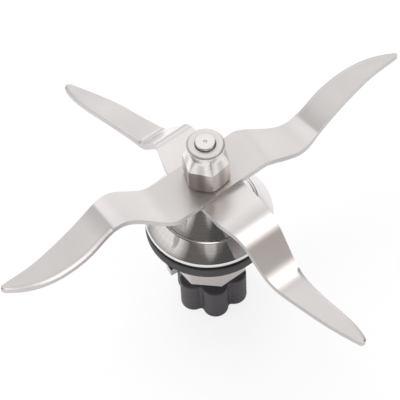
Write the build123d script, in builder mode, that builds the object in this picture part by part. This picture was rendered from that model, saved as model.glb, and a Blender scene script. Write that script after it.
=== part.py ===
from build123d import *

import os

# A countertop blender's blade assembly, standing on the foot of its drive coupling.
# Two crossed steel blades are clamped on a shaft that runs in two ball bearings, inside a bell
# shaped housing with a bayonet foot. Z is the shaft's axis and X is the upper blade's length.
# All sizes are millimetres, and angles are degrees counterclockwise from X, seen from above.

# Drive coupling: six round lobes around a moulded-in hexagonal bush
COUPLING_HEIGHT = 13.4
LOBES = 6
LOBE_RADIUS = 4.2
LOBE_CIRCLE_RADIUS = 7.6
LOBE_VALLEY_ROUND = 1.0
COUPLING_FOOT_ROUND = 1.2
COUPLING_TOP_ROUND = 0.5
BUSH_FLATS = 10.0
BUSH_LENGTH = 10.0

# Screw and washer that hold the coupling on the shaft
SCREW_RADIUS = 2.0
SCREW_GRIP = 8.0
SCREW_HEAD_RADIUS = 3.4
SCREW_HEAD_HEIGHT = 2.2
SCREW_HEAD_ROUND = 0.7
SCREW_SLOT_WIDTH = 1.0
SCREW_SLOT_DEPTH = 1.1
WASHER_RADIUS = 4.0
WASHER_THICKNESS = 0.8
WASHER_GAP = 0.4

# Shaft: drive end, bearing seats, journal, two flats for the blades, threaded end and pilot tip
DRIVE_RADIUS = 3.5
DRIVE_FLATS = 5.6
DRIVE_END_GAP = 0.6
SHAFT_RADIUS = 4.0
JOURNAL_RADIUS = 5.0
JOURNAL_FLATS = 8.4
FLATS_SHORTFALL = 0.4
THREAD_RADIUS = 4.0
THREAD_HEIGHT = 10.4
PILOT_RADIUS = 3.06
PILOT_EDGE = 0.2
PILOT_STANDOUT = 0.9
CENTRE_MARK_RADIUS = 0.8
HOLE_CLEARANCE = 0.05

# Ball bearings, two alike
BEARING_RADIUS = 9.5
BEARING_WIDTH = 6.0
INNER_RACE_WALL = 1.45
OUTER_RACE_WALL = 1.35
BALLS = 7
BALL_RADIUS = 1.5875
BALL_CLEARANCE = 0.05
CAGE_WALL = 1.1
CAGE_FLOOR = 0.45
CAGE_RISE = 0.8
CAGE_CLEARANCE = 0.1
SHIELD_THICKNESS = 0.3
SHIELD_INSET = 0.15
SHIELD_CLEARANCE = 0.1
SPACER_WALL = 1.0

# Retaining rings: one in the housing's bore and one on the shaft, under the lower bearing
BORE_RING_THICKNESS = 1.0
BORE_RING_WIDTH = 1.4
BORE_GROOVE_DEPTH = 0.5
SHAFT_RING_THICKNESS = 0.8
SHAFT_RING_WIDTH = 1.4
SHAFT_GROOVE_DEPTH = 0.3
RING_OPENING = 40.0
RING_LUG_RADIUS = 0.9
RING_LUG_HOLE_RADIUS = 0.45

# Bearing housing: spigot with an octagonal foot and two bayonet ears, and the bell above it
COUPLING_GAP = 6.1
SPIGOT_WALL = 2.2
SPIGOT_LENGTH = 22.5
FOOT_SIDES = 8
FOOT_HEIGHT = 7.0
RING_INSET = 2.5
EAR_LENGTH = 3.1
EAR_HEIGHT = 3.0
EAR_MIDDLE = 150.5
EAR_SPREAD = 45.0
RIM_RADIUS = 20.2
RIM_HEIGHT = 1.7
RIM_ROUND = 0.35
SHOULDER_RADIUS = 15.35
SHOULDER_RISE = 6.85
LEDGE_WIDTH = 0.7
LEDGE_ROUND = 0.3
NECK_WALL = 1.4
BELL_HEIGHT = 14.5
BORE_RISE = 9.0
BORE_MOUTH = 0.5
JOURNAL_CLEARANCE = 0.6

# Rubber gasket under the bell's rim
GASKET_INSET = 0.1
GASKET_HEIGHT = 5.3
GASKET_STEP = 1.6
GASKET_STEP_HEIGHT = 1.3
GASKET_ROUND = 0.6

# Lip seal in the bell's neck, with its garter spring
SEAL_WIDTH = 2.2
SEAL_HEIGHT = 4.0
SEAL_WALL = 0.8
SEAL_WEB = 1.0
SEAL_LIP_WALL = 0.7
SEAL_LIP_HEIGHT = 3.2
SEAL_CLEARANCE = 0.05
SPRING_WIRE_RADIUS = 0.3

# Blades: two crossed sheet steel blades on a seat washer
SEAT_GAP = 0.5
SEAT_RADIUS = 7.4
SEAT_THICKNESS = 1.8
SHEET = 2.0
HUB_HALF_WIDTH = 7.8
BEVEL_WIDTH = 0.9
BEVEL_DEPTH = 0.35

# Upper blade, along X: two arms alike that rise, their outer part pitched, the leading edge lower
UPPER_ANGLE = 0.0
UPPER_REACH = 73.3
UPPER_HUB_END = 16.0
UPPER_INNER_BEND = 19.5
UPPER_OUTER_BEND = 34.5
UPPER_BEND_RADIUS = 8.0
UPPER_BEND_RISE = 2.4
UPPER_TIP_RISE = 4.3
UPPER_PITCH = 0.13
UPPER_TIP_OFFSET = -3.9
UPPER_TIP_WIDTH = 1.0
UPPER_TIP_ROUND = 0.4

# Lower blade, across X: its arms drop past the bell and then run out nearly level. The front arm,
# towards -Y, drops over a longer slope than the back arm, and they narrow on different edges.
LOWER_ANGLE = 90.0
LOWER_REACH = 67.6
FRONT_HUB_END = 14.0
FRONT_INNER_BEND = 22.0
FRONT_OUTER_BEND = 37.0
FRONT_BEND_RISE = -10.7
FRONT_BEND_RADIUS = 20.0
BACK_HUB_END = 8.0
BACK_INNER_BEND = 21.0
BACK_OUTER_BEND = 29.5
BACK_BEND_RISE = -9.7
BACK_BEND_RADIUS = 6.0
LOWER_TIP_RISE = -14.9
LOWER_PITCH = 0.0
LOWER_TIP_OFFSET = 5.1
LOWER_TIP_WIDTH = 1.8
LOWER_TIP_ROUND = 0.8

# How far each edge lies from the arm's middle line: at the inner bend, halfway to the outer bend, at
# the outer bend and at each quarter of the outer part. The leading edge is on the positive side.
UPPER_LEADING = (6.45, 0.2, -0.9, 1.6, 2.8, 1.7)
UPPER_TRAILING = (-8.7, -12.25, -11.3, -8.5, -6.3, -4.8)
FRONT_LEADING = (7.5, 6.5, 5.25, 4.95, 5.75, 6.7)
FRONT_TRAILING = (-6.2, -5.6, -4.95, -3.2, -1.2, 1.2)
BACK_LEADING = (3.9, 3.5, 3.4, 4.2, 5.5, 6.7)
BACK_TRAILING = (-8.6, -7.0, -6.1, -4.1, -2.2, 0.7)

# Direction in which each edge runs into the tip
UPPER_LEADING_END = (1, -0.8)
UPPER_TRAILING_END = (1, 0.1)
LOWER_LEADING_END = (1, -0.3)
LOWER_TRAILING_END = (1, 0.4)

# Clamping nut: hexagon, faceted taper and round collar
NUT_FLATS = 13.0
NUT_TURN = 7.4
NUT_HEX_HEIGHT = 8.8
NUT_TAPER_HEIGHT = 4.0
NUT_TAPER_ANGLE = 18.0
NUT_COLLAR_RADIUS = 5.96
NUT_COLLAR_ROUND = 0.9
NUT_HEIGHT = 16.2
PILOT_GAP = 0.4

# Radii worked out from the shaft outwards
BALL_CIRCLE_RADIUS = (SHAFT_RADIUS + BEARING_RADIUS) / 2
INNER_RACE_RADIUS = SHAFT_RADIUS + INNER_RACE_WALL
OUTER_RACE_RADIUS = BEARING_RADIUS - OUTER_RACE_WALL
SPIGOT_RADIUS = BEARING_RADIUS + SPIGOT_WALL
EAR_RADIUS = SPIGOT_RADIUS + EAR_LENGTH
GASKET_RADIUS = RIM_RADIUS - GASKET_INSET
SEAL_RADIUS = JOURNAL_RADIUS + SEAL_WIDTH
NECK_RADIUS = SEAL_RADIUS + NECK_WALL
LIP_RADIUS = JOURNAL_RADIUS + SEAL_CLEARANCE
LIP_BACK_RADIUS = LIP_RADIUS + SEAL_LIP_WALL
BORE_GROOVE_RADIUS = BEARING_RADIUS + BORE_GROOVE_DEPTH
SHAFT_GROOVE_RADIUS = SHAFT_RADIUS - SHAFT_GROOVE_DEPTH

# Heights worked out from the coupling's foot upwards
BUSH_Z = COUPLING_HEIGHT - BUSH_LENGTH
WASHER_Z = BUSH_Z - WASHER_THICKNESS
SCREW_Z = WASHER_Z - SCREW_HEAD_HEIGHT
DRIVE_END_Z = BUSH_Z + DRIVE_END_GAP
FOOT_Z = COUPLING_HEIGHT + COUPLING_GAP
LOWER_BEARING_Z = FOOT_Z + RING_INSET + BORE_RING_THICKNESS
SPACER_Z = LOWER_BEARING_Z + BEARING_WIDTH
RIM_Z = FOOT_Z + SPIGOT_LENGTH
BORE_TOP_Z = RIM_Z + BORE_RISE
UPPER_BEARING_Z = BORE_TOP_Z - BEARING_WIDTH
SHOULDER_Z = RIM_Z + SHOULDER_RISE
BELL_TOP_Z = RIM_Z + BELL_HEIGHT
SEAL_Z = BELL_TOP_Z - SEAL_HEIGHT
LIP_TOP_Z = SEAL_Z + SEAL_LIP_HEIGHT
SEAT_Z = BELL_TOP_Z + SEAT_GAP
LOWER_BLADE_Z = SEAT_Z + SEAT_THICKNESS
UPPER_BLADE_Z = LOWER_BLADE_Z + SHEET
NUT_Z = UPPER_BLADE_Z + SHEET
SHAFT_TOP_Z = NUT_Z + NUT_HEIGHT + PILOT_STANDOUT

HALF_TURN = 180
SAME_RADIUS = 0.01


def write(piece, name):
    """Label a finished piece and save it under its own name."""
    piece.part.label = name
    export_step(piece.part, f"parts/{name}.step")


def turned(*outline):
    """Turn a closed outline of radius and height pairs about the shaft's axis."""
    with BuildPart() as ring:
        with BuildSketch(Plane.XZ):
            with BuildLine():
                Polyline(*outline, close=True)
            make_face()
        revolve(axis=Axis.Z)
    return ring


def tube(inner, outer, bottom, top):
    """A plain turned ring between two radii and two heights."""
    return turned((inner, bottom), (outer, bottom), (outer, top), (inner, top))


def circles(piece, radius):
    """The circular edges of a piece that have the given radius, lowest first."""
    rings = piece.edges().filter_by(GeomType.CIRCLE)
    return rings.filter_by(lambda ring: abs(ring.radius - radius) < SAME_RADIUS).sort_by(Axis.Z)


def two_flats(radius, width):
    """A round with two flats, drawn in the sketch that is open."""
    Circle(radius)
    Rectangle(width, 2 * radius, mode=Mode.INTERSECT)


os.makedirs("parts", exist_ok=True)

# Drive coupling, with a hexagonal pocket for its bush and a round one for the screw and washer
with BuildPart() as drive_coupling:
    with BuildSketch() as lobe_outline:
        Circle(LOBE_CIRCLE_RADIUS)
        with PolarLocations(LOBE_CIRCLE_RADIUS, LOBES):
            Circle(LOBE_RADIUS)
        fillet(lobe_outline.vertices(), LOBE_VALLEY_ROUND)
    extrude(amount=COUPLING_HEIGHT)
    fillet(drive_coupling.faces().sort_by(Axis.Z)[0].edges(), COUPLING_FOOT_ROUND)
    fillet(drive_coupling.faces().sort_by(Axis.Z)[-1].edges(), COUPLING_TOP_ROUND)
    with BuildSketch():
        Circle(WASHER_RADIUS + WASHER_GAP)
    extrude(amount=COUPLING_HEIGHT, mode=Mode.SUBTRACT)
    with BuildSketch(Plane.XY.offset(BUSH_Z)):
        RegularPolygon(BUSH_FLATS / 2, 6, major_radius=False)
    extrude(amount=BUSH_LENGTH, mode=Mode.SUBTRACT)
write(drive_coupling, "drive_coupling")

with BuildPart() as coupling_bush:
    with BuildSketch(Plane.XY.offset(BUSH_Z)):
        RegularPolygon(BUSH_FLATS / 2, 6, major_radius=False)
    extrude(amount=BUSH_LENGTH)
    with BuildSketch(Plane.XY.offset(BUSH_Z)):
        two_flats(DRIVE_RADIUS + HOLE_CLEARANCE, DRIVE_FLATS + 2 * HOLE_CLEARANCE)
    extrude(amount=BUSH_LENGTH, mode=Mode.SUBTRACT)
write(coupling_bush, "coupling_bush")

coupling_washer = tube(SCREW_RADIUS, WASHER_RADIUS, WASHER_Z, BUSH_Z)
write(coupling_washer, "coupling_washer")

with BuildPart() as coupling_screw:
    with BuildSketch(Plane.XY.offset(SCREW_Z)):
        Circle(SCREW_HEAD_RADIUS)
    extrude(amount=SCREW_HEAD_HEIGHT)
    fillet(coupling_screw.faces().sort_by(Axis.Z)[0].edges(), SCREW_HEAD_ROUND)
    with BuildSketch(Plane.XY.offset(WASHER_Z)):
        Circle(SCREW_RADIUS)
    extrude(amount=DRIVE_END_Z + SCREW_GRIP - WASHER_Z)
    with BuildSketch(Plane.XY.offset(SCREW_Z)):
        Rectangle(2 * SCREW_HEAD_RADIUS, SCREW_SLOT_WIDTH)
    extrude(amount=SCREW_SLOT_DEPTH, mode=Mode.SUBTRACT)
write(coupling_screw, "coupling_screw")

# Bearing housing, turned in one piece, with flats and ears milled on its foot
with BuildPart() as bearing_housing:
    with BuildSketch(Plane.XZ):
        with BuildLine():
            Polyline(
                (BEARING_RADIUS, FOOT_Z),
                (SPIGOT_RADIUS, FOOT_Z),
                (SPIGOT_RADIUS, RIM_Z),
                (RIM_RADIUS, RIM_Z),
                (RIM_RADIUS, RIM_Z + RIM_HEIGHT),
                (SHOULDER_RADIUS, SHOULDER_Z),
                (SHOULDER_RADIUS - LEDGE_WIDTH, SHOULDER_Z),
                (NECK_RADIUS, BELL_TOP_Z),
                (SEAL_RADIUS, BELL_TOP_Z),
                (SEAL_RADIUS, SEAL_Z),
                (JOURNAL_RADIUS + JOURNAL_CLEARANCE, SEAL_Z),
                (JOURNAL_RADIUS + JOURNAL_CLEARANCE, BORE_TOP_Z),
                (BEARING_RADIUS, BORE_TOP_Z),
                close=True,
            )
        make_face()
    revolve(axis=Axis.Z)
    fillet(circles(bearing_housing, RIM_RADIUS), RIM_ROUND)
    fillet(circles(bearing_housing, SHOULDER_RADIUS), LEDGE_ROUND)
    with BuildSketch(Plane.XY.offset(FOOT_Z)):
        RegularPolygon(SPIGOT_RADIUS, FOOT_SIDES, major_radius=False, rotation=HALF_TURN / FOOT_SIDES)
        Circle(BEARING_RADIUS, mode=Mode.SUBTRACT)
    extrude(amount=FOOT_HEIGHT)
    with BuildSketch(Plane.XY.offset(FOOT_Z)):
        with BuildLine():
            ear_start = EAR_MIDDLE - EAR_SPREAD / 2
            root = CenterArc((0, 0), SPIGOT_RADIUS, ear_start, EAR_SPREAD)
            end = CenterArc((0, 0), EAR_RADIUS, ear_start, EAR_SPREAD)
            Line(root @ 0, end @ 0)
            Line(root @ 1, end @ 1)
        ear = make_face()
        add(ear, rotation=HALF_TURN)
    extrude(amount=EAR_HEIGHT)
    with BuildSketch(Plane.XY.offset(FOOT_Z + RING_INSET)):
        Circle(BORE_GROOVE_RADIUS)
    extrude(amount=BORE_RING_THICKNESS, mode=Mode.SUBTRACT)
    chamfer(circles(bearing_housing, BEARING_RADIUS)[0], BORE_MOUTH)
write(bearing_housing, "bearing_housing")

# Rubber gasket, stepped back under the rim
with BuildPart() as sealing_gasket:
    with BuildSketch(Plane.XZ):
        with BuildLine():
            Polyline(
                (SPIGOT_RADIUS, RIM_Z - GASKET_HEIGHT),
                (GASKET_RADIUS, RIM_Z - GASKET_HEIGHT),
                (GASKET_RADIUS, RIM_Z - GASKET_STEP_HEIGHT),
                (GASKET_RADIUS - GASKET_STEP, RIM_Z - GASKET_STEP_HEIGHT),
                (GASKET_RADIUS - GASKET_STEP, RIM_Z),
                (SPIGOT_RADIUS, RIM_Z),
                close=True,
            )
        make_face()
    revolve(axis=Axis.Z)
    fillet(circles(sealing_gasket, GASKET_RADIUS)[0], GASKET_ROUND)
write(sealing_gasket, "sealing_gasket")

# Ball bearings: races, balls, snap-in cage and a shield on each side
for place, bottom in (("upper", UPPER_BEARING_Z), ("lower", LOWER_BEARING_Z)):
    top = bottom + BEARING_WIDTH
    middle = bottom + BEARING_WIDTH / 2

    for race, inner, outer in (
        ("outer", OUTER_RACE_RADIUS, BEARING_RADIUS),
        ("inner", SHAFT_RADIUS, INNER_RACE_RADIUS),
    ):
        with BuildPart() as bearing_race:
            with BuildSketch(Plane.XZ):
                with Locations(((inner + outer) / 2, middle)):
                    Rectangle(outer - inner, BEARING_WIDTH)
                with Locations((BALL_CIRCLE_RADIUS, middle)):
                    Circle(BALL_RADIUS + BALL_CLEARANCE, mode=Mode.SUBTRACT)
            revolve(axis=Axis.Z)
        write(bearing_race, f"{place}_bearing_{race}_race")

    with BuildPart() as bearing_balls:
        with Locations((0, 0, middle)):
            with PolarLocations(BALL_CIRCLE_RADIUS, BALLS):
                Sphere(BALL_RADIUS)
    write(bearing_balls, f"{place}_bearing_balls")

    pocket_radius = BALL_RADIUS + CAGE_CLEARANCE
    cage_bottom = middle - pocket_radius - CAGE_FLOOR
    with BuildPart() as bearing_cage:
        with BuildSketch(Plane.XY.offset(cage_bottom)):
            Circle(BALL_CIRCLE_RADIUS + CAGE_WALL / 2)
            Circle(BALL_CIRCLE_RADIUS - CAGE_WALL / 2, mode=Mode.SUBTRACT)
        extrude(amount=middle + CAGE_RISE - cage_bottom)
        with Locations((0, 0, middle)):
            with PolarLocations(BALL_CIRCLE_RADIUS, BALLS):
                Sphere(pocket_radius, mode=Mode.SUBTRACT)
    write(bearing_cage, f"{place}_bearing_cage")

    with BuildPart() as bearing_shields:
        for shield_z in (bottom + SHIELD_INSET, top - SHIELD_INSET - SHIELD_THICKNESS):
            with BuildSketch(Plane.XY.offset(shield_z)):
                Circle(OUTER_RACE_RADIUS)
                Circle(INNER_RACE_RADIUS + SHIELD_CLEARANCE, mode=Mode.SUBTRACT)
            extrude(amount=SHIELD_THICKNESS)
    write(bearing_shields, f"{place}_bearing_shields")

# Spacers that keep the two bearings apart
outer_spacer = tube(BEARING_RADIUS - SPACER_WALL, BEARING_RADIUS, SPACER_Z, UPPER_BEARING_Z)
write(outer_spacer, "outer_spacer")
inner_spacer = tube(SHAFT_RADIUS, SHAFT_RADIUS + SPACER_WALL, SPACER_Z, UPPER_BEARING_Z)
write(inner_spacer, "inner_spacer")

# Lip seal, open upwards, and the garter spring behind its lip
shaft_seal = turned(
    (LIP_RADIUS, SEAL_Z),
    (SEAL_RADIUS, SEAL_Z),
    (SEAL_RADIUS, BELL_TOP_Z),
    (SEAL_RADIUS - SEAL_WALL, BELL_TOP_Z),
    (SEAL_RADIUS - SEAL_WALL, SEAL_Z + SEAL_WEB),
    (LIP_BACK_RADIUS, SEAL_Z + SEAL_WEB),
    (LIP_BACK_RADIUS, LIP_TOP_Z),
    (LIP_RADIUS, LIP_TOP_Z),
)
write(shaft_seal, "shaft_seal")

with BuildPart() as seal_spring:
    with BuildSketch(Plane.XZ):
        with Locations((LIP_BACK_RADIUS + SPRING_WIRE_RADIUS, LIP_TOP_Z - 2 * SPRING_WIRE_RADIUS)):
            Circle(SPRING_WIRE_RADIUS)
    revolve(axis=Axis.Z)
write(seal_spring, "seal_spring")


def retaining_ring(inner, outer, lug_circle, top, thickness):
    """A spring ring, open towards X, with a holed lug at each end of the opening."""
    start = RING_OPENING / 2
    sweep_angle = 2 * HALF_TURN - RING_OPENING
    with BuildPart() as ring:
        with BuildSketch(Plane.XY.offset(top - thickness)):
            with BuildLine():
                inside = CenterArc((0, 0), inner, start, sweep_angle)
                outside = CenterArc((0, 0), outer, start, sweep_angle)
                Line(inside @ 0, outside @ 0)
                Line(inside @ 1, outside @ 1)
            make_face()
            with PolarLocations(lug_circle, 2, start, sweep_angle, endpoint=True):
                Circle(RING_LUG_RADIUS)
                Circle(RING_LUG_HOLE_RADIUS, mode=Mode.SUBTRACT)
        extrude(amount=thickness)
    return ring


bore_ring_inside = BORE_GROOVE_RADIUS - BORE_RING_WIDTH
bore_retaining_ring = retaining_ring(
    bore_ring_inside, BORE_GROOVE_RADIUS, bore_ring_inside, LOWER_BEARING_Z, BORE_RING_THICKNESS
)
write(bore_retaining_ring, "bore_retaining_ring")

shaft_ring_outside = SHAFT_GROOVE_RADIUS + SHAFT_RING_WIDTH
shaft_retaining_ring = retaining_ring(
    SHAFT_GROOVE_RADIUS, shaft_ring_outside, shaft_ring_outside, LOWER_BEARING_Z, SHAFT_RING_THICKNESS
)
write(shaft_retaining_ring, "shaft_retaining_ring")

# Drive shaft, with flats at both ends, a tapped hole below and a centre mark on top
with BuildPart() as drive_shaft:
    with BuildSketch(Plane.XZ):
        with BuildLine():
            Polyline(
                (0, COUPLING_HEIGHT),
                (SHAFT_RADIUS, COUPLING_HEIGHT),
                (SHAFT_RADIUS, LOWER_BEARING_Z - SHAFT_RING_THICKNESS),
                (SHAFT_GROOVE_RADIUS, LOWER_BEARING_Z - SHAFT_RING_THICKNESS),
                (SHAFT_GROOVE_RADIUS, LOWER_BEARING_Z),
                (SHAFT_RADIUS, LOWER_BEARING_Z),
                (SHAFT_RADIUS, BORE_TOP_Z),
                (JOURNAL_RADIUS, BORE_TOP_Z),
                (JOURNAL_RADIUS, SEAT_Z),
                (THREAD_RADIUS, SEAT_Z),
                (THREAD_RADIUS, NUT_Z + THREAD_HEIGHT),
                (PILOT_RADIUS, NUT_Z + THREAD_HEIGHT),
                (PILOT_RADIUS, SHAFT_TOP_Z),
                (0, SHAFT_TOP_Z),
                close=True,
            )
        make_face()
    revolve(axis=Axis.Z)
    chamfer(drive_shaft.faces().sort_by(Axis.Z)[-1].edges(), PILOT_EDGE)
    with BuildSketch(Plane.XY.offset(SEAT_Z)):
        two_flats(JOURNAL_RADIUS, JOURNAL_FLATS)
    extrude(amount=NUT_Z - FLATS_SHORTFALL - SEAT_Z)
    with BuildSketch(Plane.XY.offset(DRIVE_END_Z)):
        two_flats(DRIVE_RADIUS, DRIVE_FLATS)
    extrude(amount=COUPLING_HEIGHT - DRIVE_END_Z)
    with BuildSketch(Plane.XY.offset(DRIVE_END_Z)):
        Circle(SCREW_RADIUS)
    extrude(amount=SCREW_GRIP, mode=Mode.SUBTRACT)
    with Locations((0, 0, SHAFT_TOP_Z)):
        Sphere(CENTRE_MARK_RADIUS, mode=Mode.SUBTRACT)
write(drive_shaft, "drive_shaft")


def flats_hole(bottom, height):
    """The hole that a piece seated on the journal's flats needs."""
    with BuildPart() as hole:
        with BuildSketch(Plane.XY.offset(bottom)):
            two_flats(JOURNAL_RADIUS + HOLE_CLEARANCE, JOURNAL_FLATS + 2 * HOLE_CLEARANCE)
        extrude(amount=height)
    return hole.part


# Seat washer, on the ledges where the journal's flats end
with BuildPart() as seat_washer:
    with BuildSketch(Plane.XY.offset(SEAT_Z)):
        Circle(SEAT_RADIUS)
    extrude(amount=SEAT_THICKNESS)
    add(flats_hole(SEAT_Z, SEAT_THICKNESS), mode=Mode.SUBTRACT)
write(seat_washer, "seat_washer")


def bent_strip(half_width, length, inner_bend, outer_bend, bend_radius, bend_rise, tip_rise, pitch):
    """A strip of sheet along X from the shaft's axis, bent twice, its outer part tilted by the pitch."""
    with BuildPart() as strip:
        for side in (-half_width, half_width):
            tilt = -pitch * side
            with BuildSketch(Plane.XZ.offset(-side)):
                with BuildLine():
                    FilletPolyline(
                        (0, SHEET),
                        (inner_bend, SHEET),
                        (outer_bend, SHEET + bend_rise + tilt),
                        (length, SHEET + tip_rise + tilt),
                        radius=bend_radius,
                    )
                    offset(amount=SHEET, side=Side.RIGHT)
                make_face()
        loft(ruled=True)
    return strip.part


def trimmed_arm(strip, leading, trailing, leading_end, trailing_end, tip_round):
    """Cut a strip to the blade's outline between its leading and trailing edge."""
    box = strip.bounding_box()
    with BuildPart() as arm:
        add(strip)
        with BuildSketch(Plane.XY.offset(box.min.Z)) as outline:
            with BuildLine():
                front = Spline(*leading, tangents=((1, 0), leading_end))
                back = Spline(*trailing, tangents=((1, 0), trailing_end))
                Polyline(front @ 0, (0, HUB_HALF_WIDTH), (0, -HUB_HALF_WIDTH), back @ 0)
                Line(front @ 1, back @ 1)
            make_face()
            fillet(outline.vertices().sort_by(Axis.X)[-2:], tip_round)
        extrude(amount=box.size.Z, mode=Mode.INTERSECT)
    return arm


def ground_bevel(arm):
    """The wedge to grind off along the top of the leading edge, from the outer bend to the tip."""
    edge_face = arm.faces().filter_by(GeomType.EXTRUSION).sort_by(Axis.Y)[-1]
    outer_edges = edge_face.edges().sort_by(SortBy.LENGTH)[-2:]
    path = outer_edges.sort_by(lambda edge: (edge @ 0.5).Z)[-1]
    section_plane = Plane(origin=path @ 0, x_dir=(path % 0).cross(Vector(0, 0, -1)), z_dir=path % 0)
    with BuildPart() as wedge:
        with BuildSketch(section_plane):
            with BuildLine():
                Polyline(
                    (-BEVEL_WIDTH, 0),
                    (BEVEL_WIDTH, -2 * BEVEL_DEPTH),
                    (BEVEL_WIDTH, BEVEL_DEPTH),
                    (-BEVEL_WIDTH, BEVEL_DEPTH),
                    close=True,
                )
            make_face()
        sweep(path=path)
    return wedge.part


def blade_arm(
    reach,
    hub_end,
    bends,
    rises,
    bend_radius,
    pitch,
    edges,
    edge_ends,
    tip,
):
    """One arm of a blade along X, bent, cut to its outline and ground along its leading edge."""
    inner_bend, outer_bend = bends
    bend_rise, tip_rise = rises
    tip_offset, tip_width, tip_round = tip
    outer_length = reach - outer_bend
    stations = [hub_end, inner_bend, (inner_bend + outer_bend) / 2, outer_bend]
    stations += [outer_bend + outer_length * quarter / 4 for quarter in (1, 2, 3, 4)]
    leading = [HUB_HALF_WIDTH, *edges[0], tip_offset + tip_width / 2]
    trailing = [-HUB_HALF_WIDTH, *edges[1], tip_offset - tip_width / 2]
    half_width = 2 * HUB_HALF_WIDTH
    strip = bent_strip(
        half_width, reach + tip_width, inner_bend, outer_bend, bend_radius, bend_rise, tip_rise, pitch
    )
    arm = trimmed_arm(strip, zip(stations, leading), zip(stations, trailing), *edge_ends, tip_round)
    with BuildPart() as ground_arm:
        add(arm.part)
        add(ground_bevel(arm), mode=Mode.SUBTRACT)
    return ground_arm.part


def blade(bottom, angle, first_arm, second_arm):
    """A blade of two arms that point opposite ways, with the hole for the shaft's flats."""
    with BuildPart() as whole:
        with Locations((0, 0, bottom)):
            with PolarLocations(0, 1, angle):
                add(first_arm)
            with PolarLocations(0, 1, angle + HALF_TURN):
                add(second_arm)
        add(flats_hole(bottom, SHEET), mode=Mode.SUBTRACT)
    return whole


back_arm = blade_arm(
    reach=LOWER_REACH,
    hub_end=BACK_HUB_END,
    bends=(BACK_INNER_BEND, BACK_OUTER_BEND),
    rises=(BACK_BEND_RISE, LOWER_TIP_RISE),
    bend_radius=BACK_BEND_RADIUS,
    pitch=LOWER_PITCH,
    edges=(BACK_LEADING, BACK_TRAILING),
    edge_ends=(LOWER_LEADING_END, LOWER_TRAILING_END),
    tip=(LOWER_TIP_OFFSET, LOWER_TIP_WIDTH, LOWER_TIP_ROUND),
)
front_arm = blade_arm(
    reach=LOWER_REACH,
    hub_end=FRONT_HUB_END,
    bends=(FRONT_INNER_BEND, FRONT_OUTER_BEND),
    rises=(FRONT_BEND_RISE, LOWER_TIP_RISE),
    bend_radius=FRONT_BEND_RADIUS,
    pitch=LOWER_PITCH,
    edges=(FRONT_LEADING, FRONT_TRAILING),
    edge_ends=(LOWER_LEADING_END, LOWER_TRAILING_END),
    tip=(LOWER_TIP_OFFSET, LOWER_TIP_WIDTH, LOWER_TIP_ROUND),
)
lower_blade = blade(LOWER_BLADE_Z, LOWER_ANGLE, back_arm, front_arm)
write(lower_blade, "lower_blade")

upper_arm = blade_arm(
    reach=UPPER_REACH,
    hub_end=UPPER_HUB_END,
    bends=(UPPER_INNER_BEND, UPPER_OUTER_BEND),
    rises=(UPPER_BEND_RISE, UPPER_TIP_RISE),
    bend_radius=UPPER_BEND_RADIUS,
    pitch=UPPER_PITCH,
    edges=(UPPER_LEADING, UPPER_TRAILING),
    edge_ends=(UPPER_LEADING_END, UPPER_TRAILING_END),
    tip=(UPPER_TIP_OFFSET, UPPER_TIP_WIDTH, UPPER_TIP_ROUND),
)
upper_blade = blade(UPPER_BLADE_Z, UPPER_ANGLE, upper_arm, upper_arm)
write(upper_blade, "upper_blade")

# Clamping nut, threaded up to the shaft's pilot, which shows in its open top
with BuildPart() as clamp_nut:
    with BuildSketch(Plane.XY.offset(NUT_Z)):
        RegularPolygon(NUT_FLATS / 2, 6, major_radius=False, rotation=NUT_TURN)
    extrude(amount=NUT_HEX_HEIGHT)
    with BuildSketch(Plane.XY.offset(NUT_Z + NUT_HEX_HEIGHT)):
        RegularPolygon(NUT_FLATS / 2, 6, major_radius=False, rotation=NUT_TURN)
    extrude(amount=NUT_TAPER_HEIGHT, taper=NUT_TAPER_ANGLE)
    with BuildSketch(Plane.XY.offset(NUT_Z)):
        Circle(NUT_COLLAR_RADIUS)
    extrude(amount=NUT_HEIGHT)
    fillet(clamp_nut.faces().sort_by(Axis.Z)[-1].edges(), NUT_COLLAR_ROUND)
    with BuildSketch(Plane.XY.offset(NUT_Z)):
        Circle(THREAD_RADIUS)
    extrude(amount=THREAD_HEIGHT, mode=Mode.SUBTRACT)
    with BuildSketch(Plane.XY.offset(NUT_Z)):
        Circle(PILOT_RADIUS + PILOT_GAP)
    extrude(amount=NUT_HEIGHT, mode=Mode.SUBTRACT)
write(clamp_nut, "clamp_nut")
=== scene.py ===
# %% [markdown]
# # A blender's blade assembly
# The real object is a spare part: two crossed steel blades, a tall nut, a turned bell with its
# rubber ring, and a dark moulded coupling that a motor drives. The CAD frame comes first and stays
# where it is. Every piece made below is put in that same frame, in metres, so nothing is fitted by
# eye afterwards.

# %% Load the frame
import math

import bmesh
import bpy
import numpy as np
from mathutils import Matrix, Vector


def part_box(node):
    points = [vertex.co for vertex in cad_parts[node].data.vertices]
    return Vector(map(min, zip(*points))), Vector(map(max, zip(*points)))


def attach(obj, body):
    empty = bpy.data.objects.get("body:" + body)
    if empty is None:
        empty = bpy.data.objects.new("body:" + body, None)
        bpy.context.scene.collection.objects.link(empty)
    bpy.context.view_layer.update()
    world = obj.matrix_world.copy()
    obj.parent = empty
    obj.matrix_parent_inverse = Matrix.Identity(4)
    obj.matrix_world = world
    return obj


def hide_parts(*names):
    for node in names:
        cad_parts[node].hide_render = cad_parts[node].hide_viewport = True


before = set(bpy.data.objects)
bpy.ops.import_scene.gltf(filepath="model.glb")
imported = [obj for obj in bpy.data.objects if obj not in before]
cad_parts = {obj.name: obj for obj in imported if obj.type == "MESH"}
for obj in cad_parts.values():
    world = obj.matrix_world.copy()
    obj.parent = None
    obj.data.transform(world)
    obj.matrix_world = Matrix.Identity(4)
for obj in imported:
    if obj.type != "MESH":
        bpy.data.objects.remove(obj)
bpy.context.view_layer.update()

MM = 0.001

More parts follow.
